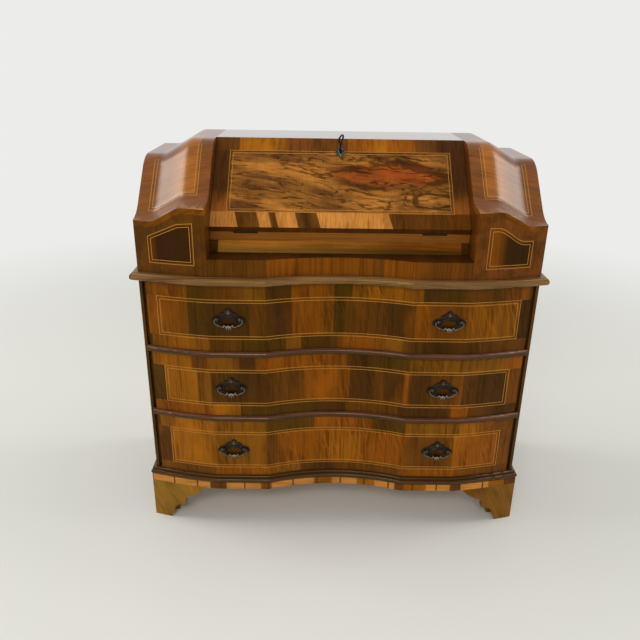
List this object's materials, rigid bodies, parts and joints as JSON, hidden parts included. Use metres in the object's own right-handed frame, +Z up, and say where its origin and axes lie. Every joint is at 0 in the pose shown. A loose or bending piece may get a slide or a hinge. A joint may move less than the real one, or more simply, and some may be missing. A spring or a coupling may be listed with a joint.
{
  "type": "fall-front bureau",
  "caption": "Fall-front bureau in walnut veneer: slanted writing flap between stepped wings, over a serpentine chest of drawers with drop handles on bracket feet.",
  "frame": {"origin": "on the floor, under the middle of the bounding box", "axes": "+X to the right seen from the front, +Y to the back, +Z up"},
  "size_m": [1.038, 0.454, 1.0505],
  "materials": {
    "walnut_side": "satin varnish, olive brown walnut",
    "softwood": "bare old softwood",
    "dark_moulding": "dark stained bullnose, satin",
    "plinth": "dark beads over a golden cross-banded strip",
    "waist_walnut": "lighter walnut, satin",
    "frieze_walnut": "red brown walnut veneer, satin",
    "foot_walnut": "brown walnut, worn",
    "wing_walnut": "golden walnut veneer with light stringing",
    "wing_front": "very dark walnut panel with light stringing",
    "top_walnut": "walnut veneer, satin",
    "desk_walnut": "plain walnut",
    "flap_veneer": "burl walnut field, banding and light stringing",
    "iron": "dark iron",
    "drawer_veneer": "patches of walnut veneer with light stringing",
    "drawer_lining": "bare softwood",
    "bronze": "dark cast bronze"
  },
  "bodies": {
    "case": {"side_left": "walnut_side", "side_right": "walnut_side", "bottom_board": "softwood", "back_panel": "softwood", "dust_board_lower": "softwood", "dust_board_upper": "softwood", "mid_board": "softwood", "rail_lower": "dark_moulding", "rail_upper": "dark_moulding", "plinth_front": "plinth", "plinth_left": "plinth", "plinth_right": "plinth", "waist_moulding_front": "waist_walnut", "waist_moulding_left": "waist_walnut", "waist_moulding_right": "waist_walnut", "frieze": "frieze_walnut", "foot_front_left": "foot_walnut", "foot_front_right": "foot_walnut", "feet_rear": "foot_walnut", "wing_top_left": "wing_walnut", "wing_top_right": "wing_walnut", "wing_front_left": "wing_front", "wing_front_right": "wing_front", "wing_cheek_left": "wing_walnut", "wing_cheek_right": "wing_walnut", "desk_floor": "desk_walnut", "top_board": "top_walnut", "fall_rail": "desk_walnut", "loper_guides": "softwood", "gallery": "desk_walnut", "hinge_leaves_desk": "iron"},
    "flap": {"flap": "flap_veneer", "hinge_leaves_flap": "iron", "lock_case": "iron", "escutcheon": "iron"},
    "lock_bolt": {"lock_bolt": "iron"},
    "key": {"key": "iron"},
    "loper_left": {"loper_left": "desk_walnut"},
    "loper_right": {"loper_right": "desk_walnut"},
    "drawer_low": {"drawer_low_front": "drawer_veneer", "drawer_low_sides": "drawer_lining", "drawer_low_bottom": "drawer_lining", "drawer_low_back": "drawer_lining", "drawer_low_handle_plates": "bronze"},
    "bail_low_left": {"bail_low_left": "bronze"},
    "bail_low_right": {"bail_low_right": "bronze"},
    "drawer_middle": {"drawer_middle_front": "drawer_veneer", "drawer_middle_sides": "drawer_lining", "drawer_middle_bottom": "drawer_lining", "drawer_middle_back": "drawer_lining", "drawer_middle_handle_plates": "bronze"},
    "bail_middle_left": {"bail_middle_left": "bronze"},
    "bail_middle_right": {"bail_middle_right": "bronze"},
    "drawer_top": {"drawer_top_front": "drawer_veneer", "drawer_top_sides": "drawer_lining", "drawer_top_bottom": "drawer_lining", "drawer_top_back": "drawer_lining", "drawer_top_handle_plates": "bronze"},
    "bail_top_left": {"bail_top_left": "bronze"},
    "bail_top_right": {"bail_top_right": "bronze"}
  },
  "joints": [
    {"name": "flap_hinge", "type": "hinge", "parent": "case", "child": "flap", "pos_m": [0, -0.13036, 0.82352], "axis": [1, 0, 0], "range_deg": [0, 135]},
    {"name": "key_turn", "type": "hinge", "parent": "flap", "child": "key", "pos_m": [0, 0.03369, 0.98757], "axis": [0, -0.7071, 0.7071], "range_deg": [0, 95]},
    {"name": "bolt_slide", "type": "slide", "parent": "flap", "child": "lock_bolt", "axis": [0, 0.7071, 0.7071], "range_m": [0, 0.008]},
    {"name": "loper_left_slide", "type": "slide", "parent": "case", "child": "loper_left", "axis": [0, -1, 0], "range_m": [0, 0.23]},
    {"name": "loper_right_slide", "type": "slide", "parent": "case", "child": "loper_right", "axis": [0, -1, 0], "range_m": [0, 0.23]},
    {"name": "drawer_low_slide", "type": "slide", "parent": "case", "child": "drawer_low", "axis": [0, -1, 0], "range_m": [0, 0.3]},
    {"name": "bail_low_left_swing", "type": "hinge", "parent": "drawer_low", "child": "bail_low_left", "pos_m": [-0.275, -0.217, 0.244], "axis": [-1, 0, 0], "range_deg": [0, 85]},
    {"name": "bail_low_right_swing", "type": "hinge", "parent": "drawer_low", "child": "bail_low_right", "pos_m": [0.275, -0.217, 0.244], "axis": [-1, 0, 0], "range_deg": [0, 85]},
    {"name": "drawer_middle_slide", "type": "slide", "parent": "case", "child": "drawer_middle", "axis": [0, -1, 0], "range_m": [0, 0.3]},
    {"name": "bail_middle_left_swing", "type": "hinge", "parent": "drawer_middle", "child": "bail_middle_left", "pos_m": [-0.275, -0.217, 0.4315], "axis": [-1, 0, 0], "range_deg": [0, 85]},
    {"name": "bail_middle_right_swing", "type": "hinge", "parent": "drawer_middle", "child": "bail_middle_right", "pos_m": [0.275, -0.217, 0.4315], "axis": [-1, 0, 0], "range_deg": [0, 85]},
    {"name": "drawer_top_slide", "type": "slide", "parent": "case", "child": "drawer_top", "axis": [0, -1, 0], "range_m": [0, 0.3]},
    {"name": "bail_top_left_swing", "type": "hinge", "parent": "drawer_top", "child": "bail_top_left", "pos_m": [-0.275, -0.217, 0.6225], "axis": [-1, 0, 0], "range_deg": [0, 85]},
    {"name": "bail_top_right_swing", "type": "hinge", "parent": "drawer_top", "child": "bail_top_right", "pos_m": [0.275, -0.217, 0.6225], "axis": [-1, 0, 0], "range_deg": [0, 85]}
  ],
  "couplings": [
    {"joint": "key_turn", "follows": "bolt_slide", "rad_per_m": 196.3}
  ]
}
